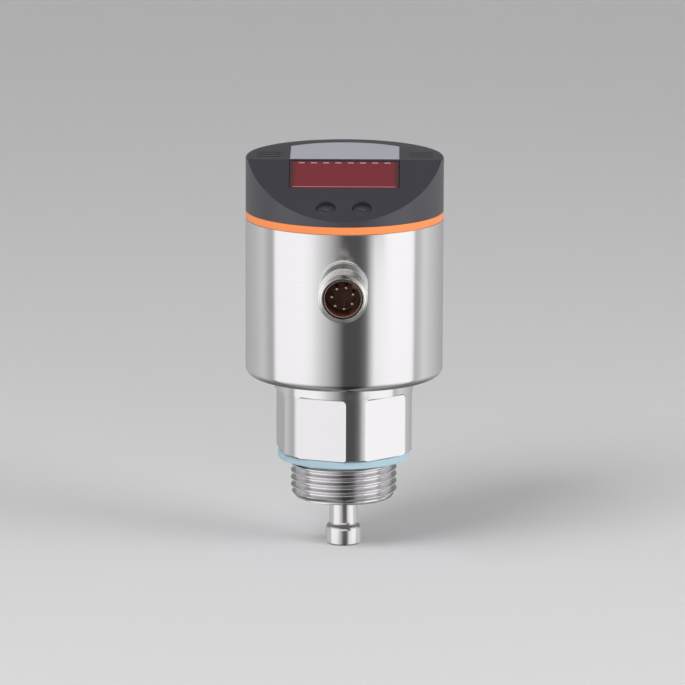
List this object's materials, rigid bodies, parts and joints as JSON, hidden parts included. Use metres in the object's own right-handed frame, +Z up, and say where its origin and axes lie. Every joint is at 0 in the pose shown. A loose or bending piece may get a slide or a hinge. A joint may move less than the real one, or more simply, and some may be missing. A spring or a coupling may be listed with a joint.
{
  "type": "electronic level sensor",
  "caption": "Electronic level sensor: round steel head with sloped display cap, push buttons and front plug, turning on a threaded process fitting with a probe stub.",
  "frame": {"origin": "on the axis of the process thread, at the sealing plane: the underside of the flat seal", "axes": "+Z up along the thread's axis towards the display cap; -Y is the front, where the plug connector points and the display face slopes down; +X is to the right seen from the front"},
  "size_m": [0.049, 0.0675, 0.0982],
  "materials": {
    "fitting_steel": "fine turned stainless steel",
    "seal_blue": "light blue flat seal, matt",
    "rod_steel": "fine turned stainless steel",
    "insulator": "beige insulating plastic",
    "seal_black": "black rubber",
    "plain_steel": "plain steel",
    "spring_steel": "dark spring steel",
    "housing_steel": "satin stainless steel, brushed round",
    "carrier_plastic": "black moulded plastic",
    "board": "green board",
    "contact_brass": "bright brass",
    "connector_metal": "bright turned metal",
    "insert_plastic": "very dark brown plastic",
    "contact_gold": "gold plated",
    "trim_orange": "orange plastic, slightly glossy",
    "cap_plastic": "anthracite moulded plastic, satin",
    "window_red": "dark red filter, glossy",
    "label_silver": "silver-grey foil, satin",
    "display_dark": "black display block",
    "led_clear": "clear light bodies",
    "switch_black": "black plastic",
    "switch_plunger": "grey plastic",
    "button_rubber": "anthracite rubber"
  },
  "bodies": {
    "process_connection": {"process_fitting": "fitting_steel", "sealing_ring": "seal_blue", "probe_stub": "rod_steel", "feedthrough_insulator": "insulator", "insulator_bush": "insulator", "stem_o_ring": "seal_black", "rod_nut": "plain_steel", "swivel_o_ring": "seal_black", "stop_washer": "plain_steel", "retaining_ring": "spring_steel"},
    "head": {"housing_can": "housing_steel", "stop_pin": "plain_steel", "board_carrier": "carrier_plastic", "sensor_board": "board", "main_board": "board", "contact_socket": "contact_brass", "connector_shell": "connector_metal", "connector_insert": "insert_plastic", "connector_pins": "contact_gold", "insert_o_ring": "seal_black", "trim_ring": "trim_orange", "cap_o_ring": "seal_black", "display_cap": "cap_plastic", "display_window": "window_red", "label_plate": "label_silver", "display_board": "board", "digit_display": "display_dark", "indicator_leds": "led_clear", "display_screws": "plain_steel", "left_switch": "switch_black", "right_switch": "switch_black", "left_button_seal": "seal_black", "right_button_seal": "seal_black"},
    "left_push_button": {"left_button": "button_rubber", "left_plunger": "switch_plunger"},
    "right_push_button": {"right_button": "button_rubber", "right_plunger": "switch_plunger"}
  },
  "joints": [
    {"name": "head_swivel", "type": "hinge", "parent": "process_connection", "child": "head", "pos_m": [0, 0, 0.024], "axis": [0, 0, 1], "range_deg": [-172.5, 172.5]},
    {"name": "left_button_press", "type": "slide", "parent": "head", "child": "left_push_button", "axis": [0, 0.5388, -0.8425], "range_m": [0, 0.0005], "stiffness_N_per_m": 400},
    {"name": "right_button_press", "type": "slide", "parent": "head", "child": "right_push_button", "axis": [0, 0.5388, -0.8425], "range_m": [0, 0.0005], "stiffness_N_per_m": 400}
  ]
}
